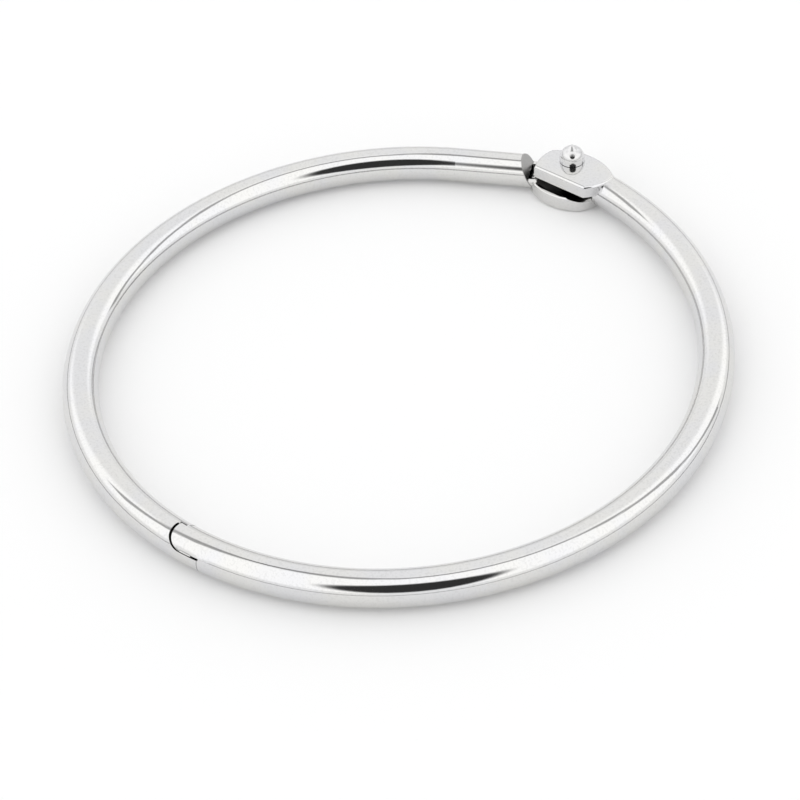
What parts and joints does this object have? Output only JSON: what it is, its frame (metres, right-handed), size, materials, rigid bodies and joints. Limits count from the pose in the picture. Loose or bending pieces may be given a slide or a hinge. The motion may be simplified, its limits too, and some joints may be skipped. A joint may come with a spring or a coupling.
{
  "type": "binder ring",
  "caption": "Hinged loose-leaf ring of rolled metal tube with a riveted lapped hinge and a lapped snap clasp, opens in its own plane to hold punched sheets",
  "frame": {"origin": "centre of the ring's round part, on the plane the closed ring rests on", "axes": "+Z out of the ring's plane, the way the rivet's stub points; +Y from the ring's centre to the rivet; +X towards the middle of the half with the upper leaf"},
  "size_m": [0.055, 0.057, 0.0047],
  "materials": {
    "ring_metal": "bright nickel-plated steel, polished to a mirror"
  },
  "bodies": {
    "lower_half": {"tray_half": "ring_metal", "hinge_rivet": "ring_metal"},
    "upper_half": {"cover_half": "ring_metal"}
  },
  "joints": [
    {"name": "ring_hinge", "type": "hinge", "parent": "lower_half", "child": "upper_half", "pos_m": [0, 0.02797, 0], "axis": [0, 0, 1], "range_deg": [0, 150]}
  ]
}
